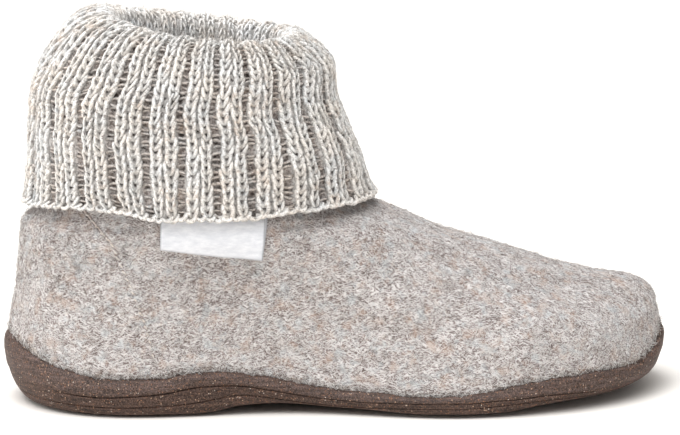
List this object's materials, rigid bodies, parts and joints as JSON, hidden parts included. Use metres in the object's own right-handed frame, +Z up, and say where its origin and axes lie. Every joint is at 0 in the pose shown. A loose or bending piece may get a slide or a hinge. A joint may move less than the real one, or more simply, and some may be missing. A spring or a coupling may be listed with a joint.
{
  "type": "slipper boot",
  "caption": "Ankle-high felt slipper boot with a folded-down rib-knit cuff, a moulded rubber cup sole upturned at heel and toe, and a blank folded side tab.",
  "frame": {"origin": "middle of the boot's box, on the floor that the sole stands on", "axes": "+X from heel to toe, +Z up, -Y towards the outer side of the right foot"},
  "size_m": [0.2653, 0.1004, 0.1578],
  "materials": {
    "rubber": "matt brown rubber with cork flecks",
    "felt": "boiled wool felt, heather grey-beige",
    "insole_felt": "wool felt",
    "knit": "chunky rib knit, marled cream and grey",
    "tab_cloth": "white woven satin, blank"
  },
  "bodies": {
    "root": {"sole": "rubber", "upper": "felt", "insole": "insole_felt", "cuff": "knit", "side_tab": "tab_cloth"}
  },
  "joints": []
}
